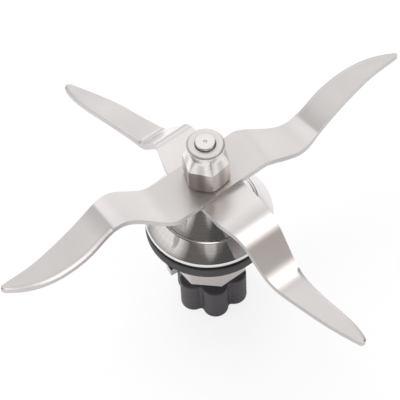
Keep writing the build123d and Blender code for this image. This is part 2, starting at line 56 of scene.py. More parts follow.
# %% [markdown]
# ## The camera
# A product photographer stands well back with a long lens, so that the near blade isn't blown up.
# A camera could be placed by hand until the picture looks right. Here its place, its aim and its
# small roll were worked out from the round rim, the hexagon and the blades' half-turn symmetry,
# so each pixel of the render can be laid over the photograph.

# %% Camera
CAMERA_PLACE = Vector((-215.7, -292.6, 560.2)) * MM
CAMERA_AIM = Vector((-2.0, 1.47, 50.1)) * MM
CAMERA_ROLL = math.radians(-3.08)
CAMERA_LENS = 182.5
CAMERA_SENSOR = 36.0

looking = (CAMERA_AIM - CAMERA_PLACE).normalized()
level_right = looking.cross(Vector((0, 0, 1))).normalized()
level_up = level_right.cross(looking)
right = math.cos(CAMERA_ROLL) * level_right + math.sin(CAMERA_ROLL) * level_up
up = right.cross(looking)

camera_data = bpy.data.cameras.new("camera")
camera_data.lens = CAMERA_LENS
camera_data.sensor_width = CAMERA_SENSOR
camera = bpy.data.objects.new("camera", camera_data)
turned_to_aim = Matrix((right, up, -looking)).transposed().to_4x4()
camera.matrix_world = Matrix.Translation(CAMERA_PLACE) @ turned_to_aim
bpy.context.scene.collection.objects.link(camera)
bpy.context.scene.camera = camera
print("camera height above the floor in mm:", round(CAMERA_PLACE.z / MM, 1))

# %% [markdown]
# ## Short calls for nodes
# The light of the room and the finishes of the pieces are both drawn with shader nodes. Making,
# setting and linking each node line by line works, but it hides what the node is for. One small class
# does all three in a single call, so the cells that follow read like the formula they stand for.


# %% Node calls
class Nodes:
    """The shader nodes of a material or a world."""

    def __init__(self, owner):
        owner.use_nodes = True
        self.nodes = owner.node_tree.nodes
        self.links = owner.node_tree.links

    def put(self, value, target):
        """Set an input to a plain value, or link it if the value is a socket."""
        if isinstance(value, bpy.types.NodeSocket):
            self.links.new(value, target)
        else:
            target.default_value = value

    def add(self, kind, values, **settings):
        """A new node with its settings, and a value for each input by name or number."""
        node = self.nodes.new(kind)
        for name, setting in settings.items():
            setattr(node, name, setting)
        for name, value in values.items():
            self.put(value, node.inputs[name])
        return node

    def calc(self, operation, *values):
        """The result of one Math node."""
        node = self.add("ShaderNodeMath", dict(enumerate(values)), operation=operation)
        return node.outputs["Value"]

    def on_vectors(self, operation, *values):
        """The outputs of one Vector Math node."""
        return self.add("ShaderNodeVectorMath", dict(enumerate(values)), operation=operation).outputs

    def ramp(self, value, start, end, low, high, interpolation="LINEAR"):
        """A value that runs from low to high while another runs from start to end."""
        limits = {"From Min": start, "From Max": end, "To Min": low, "To Max": high}
        inputs = {"Value": value, **limits}
        node = self.add("ShaderNodeMapRange", inputs, interpolation_type=interpolation)
        return node.outputs["Result"]

    def place(self):
        """The point that is shaded, in the coordinates of its object."""
        return self.add("ShaderNodeTexCoord", {}).outputs["Object"]

    def split(self, vector):
        """The X, Y and Z of a vector."""
        return self.add("ShaderNodeSeparateXYZ", {0: vector}).outputs


WHITE = (1, 1, 1, 1)
print("node calls:", [name for name in vars(Nodes) if not name.startswith("_")])

# %% [markdown]
# ## The studio
# Bright steel has hardly any colour of its own: what it shows is the room. The room here is a white
# table with soft boxes around it, and it is darker on the side where the camera stands, as a studio
# is. A picture of a studio could be wrapped around the scene, but a few nodes on the direction of the
# reflected ray do the same with no file. Each soft box is a round patch of light with a soft border,
# and a row of small ones draws the bright streak on the left of the bell.

# %% Floor
FLOOR_SIZE = 6.0
FLOOR_WHITE = 0.9
FLOOR_GLOW = 0.8

floor_mesh = bmesh.new()
bmesh.ops.create_grid(floor_mesh, x_segments=1, y_segments=1, size=FLOOR_SIZE / 2)
floor_data = bpy.data.meshes.new("floor")
floor_mesh.to_mesh(floor_data)
floor_mesh.free()
floor = bpy.data.objects.new("floor", floor_data)
bpy.context.scene.collection.objects.link(floor)

floor_paint = bpy.data.materials.new("white_table")
table = Nodes(floor_paint)
table.nodes.clear()
table_white = (FLOOR_WHITE, FLOOR_WHITE, FLOOR_WHITE, 1)
table_top = table.add("ShaderNodeBsdfDiffuse", {"Color": table_white}).outputs["BSDF"]
table_glow = table.add("ShaderNodeEmission", {"Color": WHITE}).outputs["Emission"]
seen_ray = table.add("ShaderNodeLightPath", {}).outputs["Is Camera Ray"]
seen_share = table.calc("MULTIPLY", seen_ray, FLOOR_GLOW)
table_mix = table.add("ShaderNodeMixShader", {"Fac": seen_share, 1: table_top, 2: table_glow})
table.add("ShaderNodeOutputMaterial", {"Surface": table_mix.outputs["Shader"]})
floor_data.materials.append(floor_paint)
print("floor made,", FLOOR_SIZE, "m wide")

# %% Soft boxes
ROOM_LIGHT = 0.5
ROOM_DARK = 0.09
PALE = (1.0, 0.985, 0.975)
WARM = (1.0, 0.88, 0.82)

# Each box: to the camera's right, away from it and up; how many degrees from its middle it is full
# and where it is gone; its light and its tint
SOFT_BOXES = (
    ((0.0, 0.6, 0.8), 25, 60, 0.6, PALE),
    ((0.0, 0.98, 0.1), 20, 36, 0.4, PALE),
    ((0.0, 0.58, 0.81), 6, 15, 0.25, PALE),
    ((0.25, 0.75, 0.6), 10, 20, 0.4, PALE),
    ((-0.3, 0.4, 0.87), 8, 17, 0.42, PALE),
    ((0.1, 0.34, 0.94), 3, 8, 0.3, PALE),
    ((0.46, -0.04, 0.885), 6, 17, 1.3, PALE),
    ((0.64, -0.29, 0.71), 14, 30, 0.3, WARM),
    ((0.77, -0.45, 0.46), 8, 12, 0.5, PALE),
    ((0.0, -0.58, 0.81), 18, 30, 0.22, WARM),
    ((0.0, -0.3, 0.95), 8, 15, 1.3, PALE),
    ((0.0, -0.81, 0.587), 7, 11, 0.3, PALE),
    ((-0.4, -0.86, 0.33), 12, 28, 0.06, WARM),
)

# A row of small boxes stands to the left of the bell, lower and lower towards the back. Its turns
# and heights are degrees, and it drops by so much for each degree of turn.
ROW_TURNS = range(52, 125, 8)
ROW_START_HEIGHT = 27.5
ROW_DROP = 0.31
ROW_FULL = 2
ROW_GONE = 14
ROW_LIGHT = 0.36


def row_box(turn):
    """One box of the row, turned to the left from the camera's side by some degrees."""
    aside = math.radians(turn)
    height = math.radians(ROW_START_HEIGHT - ROW_DROP * (turn - ROW_TURNS[0]))
    level = math.cos(height)
    middle = (-level * math.sin(aside), -level * math.cos(aside), math.sin(height))
    return middle, ROW_FULL, ROW_GONE, ROW_LIGHT, PALE


soft_boxes = [*SOFT_BOXES, *[row_box(turn) for turn in ROW_TURNS]]

world = bpy.data.worlds.new("studio")
bpy.context.scene.world = world
room = Nodes(world)
room.nodes.clear()
direction = room.add("ShaderNodeTexCoord", {}).outputs["Generated"]
level_away = Vector((-level_right.y, level_right.x, 0))

room_colour = (ROOM_DARK, ROOM_DARK, ROOM_DARK)
for (to_right, to_back, to_top), full, gone, light, tint in soft_boxes:
    box_middle = (to_right * level_right + to_back * level_away + Vector((0, 0, to_top))).normalized()
    nearness = room.on_vectors("DOT_PRODUCT", direction, box_middle)["Value"]
    edge = math.cos(math.radians(gone))
    core = math.cos(math.radians(full))
    fade = room.ramp(nearness, edge, core, 0.0, light, "SMOOTHSTEP")
    room_colour = room.on_vectors("MULTIPLY_ADD", tint, fade, room_colour)["Vector"]
print("soft boxes:", len(soft_boxes))

# %% What each ray sees
room_plain = (ROOM_LIGHT, ROOM_LIGHT, ROOM_LIGHT, 1)
mirrored = room.add("ShaderNodeBackground", {"Color": room_colour}).outputs["Background"]
plain = room.add("ShaderNodeBackground", {"Color": room_plain}).outputs["Background"]
behind = room.add("ShaderNodeBackground", {"Color": WHITE}).outputs["Background"]
paths = room.add("ShaderNodeLightPath", {}).outputs
shiny_ray = room.calc("MAXIMUM", paths["Is Glossy Ray"], paths["Is Transmission Ray"])
lit = room.add("ShaderNodeMixShader", {"Fac": shiny_ray, 1: plain, 2: mirrored}).outputs["Shader"]
seen = room.add("ShaderNodeMixShader", {"Fac": paths["Is Camera Ray"], 1: lit, 2: behind})
room.add("ShaderNodeOutputWorld", {"Surface": seen.outputs["Shader"]})
bpy.context.scene.view_settings.view_transform = "Standard"
print("studio nodes:", len(room.nodes))

# %% Lamps
OBJECT_MIDDLE = Vector((0, 0, 0.04))

# Each lamp: its place and its width in metres, its power in watts
LAMPS = {
    "overhead_lamp": ((0.1, 0.35, 1.0), 0.9, 8.0),
    "left_lamp": ((-0.9, 0.25, 0.5), 0.5, 2.5),
    "camera_side_lamp": ((-0.5, -0.75, 0.4), 0.5, 2.5),
}
for name, (place, width, power) in LAMPS.items():
    lamp_data = bpy.data.lights.new(name, "AREA")
    lamp_data.shape = "SQUARE"
    lamp_data.size = width
    lamp_data.energy = power
    lamp = bpy.data.objects.new(name, lamp_data)
    lamp.location = place
    lamp.rotation_euler = (OBJECT_MIDDLE - Vector(place)).to_track_quat("-Z", "Y").to_euler()
    lamp.visible_glossy = False
    bpy.context.scene.collection.objects.link(lamp)
print("lamps:", list(LAMPS))

# %% [markdown]
# ## Finishes
# Each finish is a node material that reads Object coordinates, so its grain has a real size in
# millimetres and stays on the piece when it turns. Sheet steel is drawn through rollers, which
# leaves a fine straight grain on the polished top. Its underside and its sheared sides get darker
# copies of the same finish, which are painted shade. Turned steel has rings around its axis, and those
# rings smear a reflection into rays that fan out from the middle, which is what anisotropy stands for.

# %% Satin sheet steel
NOISE_MIDDLE = (0.3, 0.7)
GRAIN_ALONG = 120.0
GRAIN_ACROSS = 5000.0
GRAIN_DETAIL = 3.0
GRAIN_DEPTH = 0.000004
HAZE_SCALE = 45.0
HAZE_DETAIL = 4.0
SATIN_ROUGHNESS = (0.22, 0.29)
SATIN_DETAIL = 2.0
MATT_HUB = 0.12
MATT_HUB_RADIUS = 9.0 * MM
MATT_HUB_END = 20.0 * MM


def new_finish(name, metallic, roughness, colour):
    """A Principled material with its plain values set, its nodes and its shader."""
    finish = bpy.data.materials.new(name)
    nodes = Nodes(finish)
    shader = nodes.nodes["Principled BSDF"]
    shader.inputs["Metallic"].default_value = metallic
    shader.inputs["Roughness"].default_value = roughness
    shader.inputs["Base Color"].default_value = (*colour, 1)
    return finish, nodes, shader


def noise_on(nodes, vector, scale, detail, low=0.0, high=1.0):
    """A noise on a vector socket, with its middle range stretched to run from low to high."""
    noise = nodes.add("ShaderNodeTexNoise", {"Vector": vector, "Scale": scale, "Detail": detail})
    return nodes.ramp(noise.outputs["Fac"], *NOISE_MIDDLE, low, high)


def bump_on(nodes, shader, height, depth):
    """Fine relief on a finish, depth in metres."""
    bump = nodes.add("ShaderNodeBump", {"Strength": 1.0, "Distance": depth, "Height": height})
    nodes.put(bump.outputs["Normal"], shader.inputs["Normal"])


def tinted(nodes, shader, factor, dark, light):
    """Base colour that runs from dark to light with a factor socket."""
    inputs = {"Factor": factor, "A": (*dark, 1), "B": (*light, 1)}
    tint = nodes.add("ShaderNodeMix", inputs, data_type="RGBA")
    nodes.put(tint.outputs["Result"], shader.inputs["Base Color"])


def from_axis(nodes, place):
    """How far a place is from the shaft's axis."""
    level = nodes.on_vectors("MULTIPLY", place, (1, 1, 0))["Vector"]
    return nodes.on_vectors("LENGTH", level)["Value"]


def satin_steel(name, grain, dark, light):
    """Rolled stainless sheet with its grain along X or Y, a faint uneven haze and a matt hub."""
    finish, nodes, shader = new_finish(name, 1.0, SATIN_ROUGHNESS[0], light)
    place = nodes.place()
    stretch = (GRAIN_ALONG, GRAIN_ACROSS, GRAIN_ACROSS)
    if grain == "Y":
        stretch = (GRAIN_ACROSS, GRAIN_ALONG, GRAIN_ACROSS)
    stretched = nodes.add("ShaderNodeMapping", {"Vector": place, "Scale": stretch}).outputs["Vector"]
    lines = noise_on(nodes, stretched, 1.0, GRAIN_DETAIL)
    haze = noise_on(nodes, place, HAZE_SCALE, HAZE_DETAIL)
    tinted(nodes, shader, haze, dark, light)
    rough = noise_on(nodes, place, HAZE_SCALE, SATIN_DETAIL, *SATIN_ROUGHNESS)
    matt = nodes.ramp(from_axis(nodes, place), MATT_HUB_RADIUS, MATT_HUB_END, MATT_HUB, 0.0)
    nodes.put(nodes.calc("ADD", rough, matt), shader.inputs["Roughness"])
    bump_on(nodes, shader, lines, GRAIN_DEPTH)
    return finish


upper_blade_steel = satin_steel("upper_blade_steel", "X", (0.69, 0.667, 0.662), (0.76, 0.737, 0.732))
lower_blade_steel = satin_steel("lower_blade_steel", "Y", (0.82, 0.795, 0.79), (0.89, 0.865, 0.86))
# Two darker copies of the sheet steel: painted shade for the blades' undersides and sides
shaded_underside_steel = satin_steel("shaded_underside_steel", "X", (0.32, 0.305, 0.3), (0.5, 0.48, 0.47))
shaded_side_steel = satin_steel("shaded_side_steel", "X", (0.5, 0.483, 0.48), (0.58, 0.56, 0.556))
sheet_finishes = (upper_blade_steel, lower_blade_steel, shaded_underside_steel, shaded_side_steel)
print("sheet finishes:", [finish.name for finish in sheet_finishes])

# %% Turned steel
RING_SCALE = 4000.0
RING_DETAIL = 2.0
RING_DEPTH = 0.000003
ALONG_RINGS = 0.25


def turned_steel(name, roughness, anisotropy, dark, light):
    """Steel turned on a lathe about Z: fine rings, and reflections that fan out from the axis."""
    finish, nodes, shader = new_finish(name, 1.0, roughness, light)
    shader.inputs["Anisotropic"].default_value = anisotropy
    shader.inputs["Anisotropic Rotation"].default_value = ALONG_RINGS
    tangent = nodes.add("ShaderNodeTangent", {}, direction_type="RADIAL", axis="Z")
    nodes.put(tangent.outputs["Tangent"], shader.inputs["Tangent"])
    place = nodes.place()
    ring_place = {"X": from_axis(nodes, place), "Z": nodes.split(place)["Z"]}
    ring = nodes.add("ShaderNodeCombineXYZ", ring_place)
    lines = noise_on(nodes, ring.outputs["Vector"], RING_SCALE, RING_DETAIL)
    tinted(nodes, shader, lines, dark, light)
    bump_on(nodes, shader, lines, RING_DEPTH)
    return finish


NUT_ROUGHNESS = 0.32
bell_steel = turned_steel("bell_steel", 0.08, 0.3, (0.68, 0.66, 0.65), (0.82, 0.8, 0.79))
nut_steel = turned_steel("nut_steel", NUT_ROUGHNESS, 0.1, (0.76, 0.735, 0.715), (0.92, 0.9, 0.88))
shaft_steel = turned_steel("shaft_steel", 0.3, 0.1, (0.82, 0.8, 0.79), (0.96, 0.95, 0.94))
print("turned finishes:", bell_steel.name, nut_steel.name, shaft_steel.name)

# %% [markdown]
# ## Painted light and shade on some faces
# A piece seldom looks the same all over. The nut's flats get a painted shade, its taper a painted
# shade in the middle of each facet, and its collar is matt. The bell's foot gets a painted shade. The
# upper blade gets a painted highlight inside its outer bend and a painted shade just outside it. A
# second mesh or a painted map could show that. Here the base colour is multiplied by a shade where the
# height, the angle or the distance along the arm says so.

# %% Painted shade and light by place
# Colour factors of painted shade: on the nut's flats, on the middle of its taper's facets, on the bell's
# foot
FLATS_PAINTED_SHADE = (0.74, 0.7, 0.68)
FACET_PAINTED_SHADE = (0.66, 0.66, 0.66)
FACET_FADE = 0.7
FOOT_PAINTED_SHADE = (0.8, 0.77, 0.76)
COLLAR_ROUGHNESS = 0.42
COLLAR_FADE = 1.0 * MM
SHADE_FADE = 0.15 * MM
NUT_SIDES = 6
NUT_STOP = math.radians(7.4)
NUT_HEX_HEIGHT = 8.8 * MM
NUT_HEX_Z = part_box("clamp_nut")[0].z + NUT_HEX_HEIGHT
TAPER_HEIGHT = 4.0 * MM
TAPER_TOP_Z = NUT_HEX_Z + TAPER_HEIGHT
NUT_TURN = math.pi / NUT_SIDES + NUT_STOP
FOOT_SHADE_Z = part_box("sealing_gasket")[0].z

# Each band at the upper blade's outer bend, a painted highlight and then a painted shade: its colour
# factor, then where along the arm in millimetres it starts, is full, begins to fade and is gone
BEND_PAINTED_LIGHT = (
    ((1.15, 1.15, 1.16), (28.5, 33.0, 33.8, 34.8)),
    ((0.82, 0.815, 0.815), (34.3, 35.1, 35.6, 42.0)),
)


def by_height(nodes, bottom, top, low, high):
    """A value that runs from low to high between two heights."""
    return nodes.ramp(nodes.split(nodes.place())["Z"], bottom, top, low, high)


def shade_with(nodes, shade, share):
    """Multiply a finish's base colour by a shade, where the share socket is 1."""
    colour = nodes.nodes["Principled BSDF"].inputs["Base Color"]
    inputs = {"Factor": share, "A": colour.links[0].from_socket, "B": (*shade, 1)}
    shaded = nodes.add("ShaderNodeMix", inputs, data_type="RGBA", blend_type="MULTIPLY")
    nodes.put(shaded.outputs["Result"], colour)


# Painted shade on the nut's hexagon flats, then on the middle of each facet of its taper
nut_nodes = Nodes(nut_steel)
on_flats = by_height(nut_nodes, NUT_HEX_Z - SHADE_FADE, NUT_HEX_Z + SHADE_FADE, 1.0, 0.0)
shade_with(nut_nodes, FLATS_PAINTED_SHADE, on_flats)
nut_place = nut_nodes.split(nut_nodes.place())
around = nut_nodes.calc("ARCTAN2", nut_place["Y"], nut_place["X"])
facet_turn = nut_nodes.calc("MULTIPLY_ADD", around, NUT_SIDES, -NUT_SIDES * NUT_TURN)
facet_middle = nut_nodes.calc("COSINE", facet_turn)
on_taper = by_height(nut_nodes, NUT_HEX_Z + FACET_FADE * TAPER_HEIGHT, TAPER_TOP_Z, 1.0, 0.0)
on_facet = nut_nodes.calc("MULTIPLY", facet_middle, on_taper)
shade_with(nut_nodes, FACET_PAINTED_SHADE, nut_nodes.calc("MAXIMUM", on_facet, 0.0))
collar = by_height(nut_nodes, TAPER_TOP_Z, TAPER_TOP_Z + COLLAR_FADE, NUT_ROUGHNESS, COLLAR_ROUGHNESS)
nut_nodes.put(collar, nut_nodes.nodes["Principled BSDF"].inputs["Roughness"])

# Painted highlight inside the upper blade's outer bend, and painted shade just outside it
sheet_nodes = Nodes(upper_blade_steel)
along_arm = sheet_nodes.calc("ABSOLUTE", sheet_nodes.split(sheet_nodes.place())["X"])
for shade, (start, full, fading, gone) in BEND_PAINTED_LIGHT:
    begun = sheet_nodes.ramp(along_arm, start * MM, full * MM, 0.0, 1.0, "SMOOTHSTEP")
    left = sheet_nodes.ramp(along_arm, gone * MM, fading * MM, 0.0, 1.0, "SMOOTHSTEP")
    shade_with(sheet_nodes, shade, sheet_nodes.calc("MULTIPLY", begun, left))

# Painted shade on the bell's octagon foot, below the gasket
bell_nodes = Nodes(bell_steel)
on_foot = by_height(bell_nodes, FOOT_SHADE_Z - SHADE_FADE, FOOT_SHADE_Z + SHADE_FADE, 1.0, 0.0)
shade_with(bell_nodes, FOOT_PAINTED_SHADE, on_foot)
print("hexagon ends at mm:", round(NUT_HEX_Z / MM, 1))

# %% [markdown]
# ## Rubber, plastic and hidden metals
# Moulded rubber and plastic are matt, with a fine grain from the mould and a faint mottling. The
# metals inside the bell are hardly ever seen, so a little cloud in their colour is enough for them.

# %% Moulded and plain finishes
MOTTLE_SCALE = 180.0
MOTTLE_DETAIL = 3.0
RUBBER_GRAIN = 3500.0
PLASTIC_GRAIN = 2500.0
MOULD_DETAIL = 2.0
MOULD_DEPTH = 0.00001
CLOUD_SCALE = 700.0
CLOUD_DETAIL = 3.0


def moulded(name, roughness, grain_scale, dark, light):
    """A matt moulded surface with fine grain and faint mottling."""
    finish, nodes, shader = new_finish(name, 0.0, roughness, light)
    place = nodes.place()
    tinted(nodes, shader, noise_on(nodes, place, MOTTLE_SCALE, MOTTLE_DETAIL), dark, light)
    bump_on(nodes, shader, noise_on(nodes, place, grain_scale, MOULD_DETAIL), MOULD_DEPTH)
    return finish


def plain_metal(name, roughness, dark, light):
    """Ground metal for the pieces inside."""
    finish, nodes, shader = new_finish(name, 1.0, roughness, light)
    tinted(nodes, shader, noise_on(nodes, nodes.place(), CLOUD_SCALE, CLOUD_DETAIL), dark, light)
    return finish


gasket_rubber = moulded("gasket_rubber", 0.6, RUBBER_GRAIN, (0.029, 0.027, 0.028), (0.04, 0.037, 0.038))
seal_rubber = moulded("seal_rubber", 0.55, RUBBER_GRAIN, (0.03, 0.03, 0.03), (0.045, 0.043, 0.043))
coupling_plastic = moulded(
    "coupling_plastic", 0.42, PLASTIC_GRAIN, (0.045, 0.04, 0.045), (0.058, 0.053, 0.058)
)
cage_nylon = moulded("cage_nylon", 0.5, PLASTIC_GRAIN, (0.62, 0.55, 0.4), (0.72, 0.66, 0.5))
bush_brass = plain_metal("bush_brass", 0.35, (0.62, 0.46, 0.22), (0.74, 0.58, 0.3))
zinc_steel = plain_metal("zinc_steel", 0.35, (0.5, 0.5, 0.51), (0.66, 0.66, 0.66))
ground_steel = plain_metal("ground_steel", 0.22, (0.6, 0.6, 0.61), (0.7, 0.7, 0.71))
ball_steel = plain_metal("ball_steel", 0.08, (0.74, 0.74, 0.75), (0.82, 0.82, 0.83))
spring_steel = plain_metal("spring_steel", 0.4, (0.16, 0.16, 0.17), (0.26, 0.26, 0.27))
spacer_aluminium = plain_metal("spacer_aluminium", 0.32, (0.66, 0.66, 0.67), (0.78, 0.78, 0.79))
print("finishes in all:", len(bpy.data.materials))

# %% [markdown]
# ## From a bmesh to a piece
# Each new piece is one mesh with its place in its vertices and its object at the origin. A small
# Bevel modifier breaks the sharp edges, because a real edge is never a perfect corner and the thin
# bright line along it is what makes metal look like metal.

# %% Helpers for pieces
SAME_PLACE = 0.001 * MM
SHARP_ANGLE = math.radians(25)
BREAK_ANGLE = math.radians(35)
BREAK_SEGMENTS = 2


def finish_piece(name, mesh, finish, body, node, edge_break):
    """Turn a bmesh into a piece that rides on a body and stands for a CAD node."""
    bmesh.ops.remove_doubles(mesh, verts=mesh.verts[:], dist=SAME_PLACE)
    bmesh.ops.recalc_face_normals(mesh, faces=mesh.faces[:])
    data = bpy.data.meshes.new(name)
    mesh.to_mesh(data)
    mesh.free()
    data.materials.append(finish)
    data.polygons.foreach_set("use_smooth", [True] * len(data.polygons))
    marked = [edge.use_edge_sharp for edge in data.edges]
    data.set_sharp_from_angle(angle=SHARP_ANGLE)
    for edge, sharp in zip(data.edges, marked):
        edge.use_edge_sharp = edge.use_edge_sharp or sharp
    piece = bpy.data.objects.new(name, data)
    bpy.context.scene.collection.objects.link(piece)
    if edge_break:
        bevel = piece.modifiers.new("edge_break", "BEVEL")
        bevel.width = edge_break
        bevel.segments = BREAK_SEGMENTS
        bevel.limit_method = "ANGLE"
        bevel.angle_limit = BREAK_ANGLE
        bevel.harden_normals = True
        bevel.material = 0
    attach(piece, body)
    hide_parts(node)
    print(name, "faces:", len(data.polygons))
    return piece


# %% [markdown]
# ## The blades
# A blade like this is cut from flat strip, ground along its leading edges and then bent in a press.
# It could be sculpted in its final shape, but it is easier to model it the way it is made: a flat
# grid gets its hole and its thickness first, and then one function moves every point to where the
# press puts it. Width, bends, pitch and ground edge are all in that function, for both blades. Last,
# each face gets its finish by its direction: polished above, and darker copies below and at the side,
# which are painted shade.

# %% A flat strip with a hole
SHEET = 2.0 * MM
HUB_HALF_WIDTH = 7.8 * MM
HOLE_RADIUS = 5.05 * MM
HOLE_HALF_FLATS = 4.25 * MM
STRIP_COLUMNS = 14
STRIP_STEP = 0.3 * MM
HOLE_BLOCK = 6.0 * MM
HOLE_RIM = 1.1 * HOLE_BLOCK


def flat_strip(reach):
    """A flat strip along X with a two-flat hole in its middle, its top at height 0."""
    rows = 2 * round(reach / STRIP_STEP)
    strip = bmesh.new()
    bmesh.ops.create_grid(strip, x_segments=rows, y_segments=STRIP_COLUMNS, size=1.0)
    bmesh.ops.scale(strip, vec=(reach, HUB_HALF_WIDTH, 1), verts=strip.verts[:])
    inside = [
        face
        for face in strip.faces
        if max(abs(face.calc_center_median().x), abs(face.calc_center_median().y)) < HOLE_BLOCK
    ]
    bmesh.ops.delete(strip, geom=inside, context="FACES")
    rim = [edge for edge in strip.edges if edge.is_boundary]
    rim = [edge for edge in rim if max(abs(c) for v in edge.verts for c in v.co.xy) < HOLE_RIM]
    hole = bmesh.ops.create_circle(strip, segments=len(rim), radius=HOLE_RADIUS)["verts"]
    for vertex in hole:
        vertex.co.x = max(-HOLE_HALF_FLATS, min(HOLE_HALF_FLATS, vertex.co.x))
    hole_edges = list({edge for vertex in hole for edge in vertex.link_edges})
    bmesh.ops.bridge_loops(strip, edges=rim + hole_edges)
    lower = bmesh.ops.extrude_face_region(strip, geom=strip.faces[:])["geom"]
    lower = [item for item in lower if isinstance(item, bmesh.types.BMVert)]
    bmesh.ops.translate(strip, vec=(0, 0, -SHEET), verts=lower)
    return strip


print("sheet in mm:", round(SHEET / MM, 1), "thick,", round(2 * HUB_HALF_WIDTH / MM, 1), "wide at the hub")


# %% Smooth edges and rounded bends
def smooth_through(places, values, first_slope, last_slope):
    """Slopes of the smooth cubic that runs through the values, with given slopes at both ends."""
    count = len(places)
    gaps = np.diff(places)
    rises = np.diff(values) / gaps
    rows = np.zeros((count, count))
    wanted = np.zeros(count)
    rows[0, 0] = 1
    rows[-1, -1] = 1
    wanted[0] = first_slope
    wanted[-1] = last_slope
    for i in range(1, count - 1):
        rows[i, i - 1] = gaps[i]
        rows[i, i] = 2 * (gaps[i - 1] + gaps[i])
        rows[i, i + 1] = gaps[i - 1]
        wanted[i] = 3 * (gaps[i] * rises[i - 1] + gaps[i - 1] * rises[i])
    return np.linalg.solve(rows, wanted)


def cubic_at(place, places, values, slopes):
    """Value of that cubic at one place."""
    i = min(max(int(np.searchsorted(places, place)) - 1, 0), len(places) - 2)
    gap = places[i + 1] - places[i]
    t = (place - places[i]) / gap
    start = values[i] * (1 + 2 * t) * (1 - t) ** 2 + gap * slopes[i] * t * (1 - t) ** 2
    end = values[i + 1] * t * t * (3 - 2 * t) + gap * slopes[i + 1] * t * t * (t - 1)
    return start + end


def bent_line(x, corners, radii):
    """Height and slope at x of a line through corner points, each inner corner rounded to its radius."""
    slopes = [(b[1] - a[1]) / (b[0] - a[0]) for a, b in zip(corners, corners[1:])]
    for i, (corner, radius) in enumerate(zip(corners[1:-1], radii)):
        before = math.atan(slopes[i])
        after = math.atan(slopes[i + 1])
        run = radius * math.tan(abs(after - before) / 2)
        first = corner[0] - run * math.cos(before)
        last = corner[0] + run * math.cos(after)
        if first < x < last:
            side = 1 if after > before else -1
            centre_x = first - side * radius * math.sin(before)
            centre_z = corner[1] - run * math.sin(before) + side * radius * math.cos(before)
            drop = math.sqrt(radius**2 - (x - centre_x) ** 2)
            return centre_z - side * drop, side * (x - centre_x) / drop
    leg = 0
    while leg < len(slopes) - 1 and x > corners[leg + 1][0]:
        leg += 1
    return corners[leg][1] + slopes[leg] * (x - corners[leg][0]), slopes[leg]


print("slopes of a straight edge:", smooth_through(np.arange(3.0), np.arange(3.0), 1, 1))


# %% One arm of a blade
GROUND_WIDTH = 0.9 * MM
GROUND_WIDTH_SHARE = 0.55
GROUND_DEPTH = 0.35 * MM
GROUND_START = 1.0 * MM
TIP_FADE = 3.0 * MM
TIP_INSET_SHARE = 0.48
PAST_TIP = 1.0 * MM


class BladeShape:
    """Outline and bends of a blade's arm along X, its leading edge on the side of +Y."""

    def __init__(self, reach, hub_end, bends, rises, bend_radii, pitch, leading, trailing, ends, tip):
        self.reach = reach * MM
        self.inner_bend, self.outer_bend = (bend * MM for bend in bends)
        self.bend_rise, self.tip_rise = (rise * MM for rise in rises)
        self.bend_radii = [radius * MM for radius in bend_radii]
        self.pitch = pitch
        tip_offset, tip_width, tip_round = tip
        self.tip_round = tip_round * MM
        outer = self.reach - self.outer_bend
        middle = (self.inner_bend + self.outer_bend) / 2
        quarters = [self.outer_bend + outer * quarter / 4 for quarter in range(5)]
        self.places = np.array([hub_end * MM, self.inner_bend, middle, *quarters])
        hub = HUB_HALF_WIDTH / MM
        self.lead = np.array([hub, *leading, tip_offset + tip_width / 2]) * MM
        self.trail = np.array([-hub, *trailing, tip_offset - tip_width / 2]) * MM
        self.lead_slopes = smooth_through(self.places, self.lead, 0, ends[0])
        self.trail_slopes = smooth_through(self.places, self.trail, 0, ends[1])

    def edges(self, x):
        """Trailing and leading edge at x, rounded off at the tip."""
        if x <= self.places[0]:
            return -HUB_HALF_WIDTH, HUB_HALF_WIDTH
        x = min(x, self.reach)
        lead = cubic_at(x, self.places, self.lead, self.lead_slopes)
        trail = cubic_at(x, self.places, self.trail, self.trail_slopes)
        past = max(0.0, x - (self.reach - self.tip_round))
        inset = self.tip_round - math.sqrt(max(0.0, self.tip_round**2 - past**2))
        inset = min(inset, TIP_INSET_SHARE * (lead - trail))
        return trail + inset, lead - inset

    def top_line(self, x, side):
        """Height and slope of the top at x, tilted by the pitch at that side."""
        tilt = -self.pitch * side
        corners = (
            (0.0, 0.0),
            (self.inner_bend, 0.0),
            (self.outer_bend, self.bend_rise + tilt),
            (self.reach + PAST_TIP, self.tip_rise + tilt),
        )
        return bent_line(x, corners, self.bend_radii)

    def pressed(self, flat):
        """Where the press puts a point of the flat strip."""
        x, y, depth = flat
        _, slope = self.top_line(x, 0.0)
        to_tip = min(1.0, (self.reach - x) / TIP_FADE)
        x_here = x - to_tip * slope / math.hypot(1, slope) * depth
        trail, lead = self.edges(x_here)
        ground = min(GROUND_WIDTH, GROUND_WIDTH_SHARE * (lead - trail))
        column = 2 * HUB_HALF_WIDTH / STRIP_COLUMNS
        turn = HUB_HALF_WIDTH - column
        share = min(1.0, max(0.0, (x_here - self.places[0]) / (self.outer_bend - self.places[0])))
        border = (1 - share) * column * (lead - trail) / (2 * HUB_HALF_WIDTH) + share * ground
        if y > turn:
            side = lead - border * (HUB_HALF_WIDTH - y) / column
        else:
            side = trail + (lead - border - trail) * (y + HUB_HALF_WIDTH) / (turn + HUB_HALF_WIDTH)
        height, slope = self.top_line(x, side)
        z = height + depth / math.hypot(1, slope)
        if depth > -SHEET / 2:
            start = min(1.0, max(0.0, (x_here - self.outer_bend) / GROUND_START))
            z -= start * GROUND_DEPTH * max(0.0, 1 - (lead - side) / ground)
        return Vector((x_here, side, z))


print("ground edge in mm:", round(GROUND_WIDTH / MM, 2), "wide,", round(GROUND_DEPTH / MM, 2), "deep")


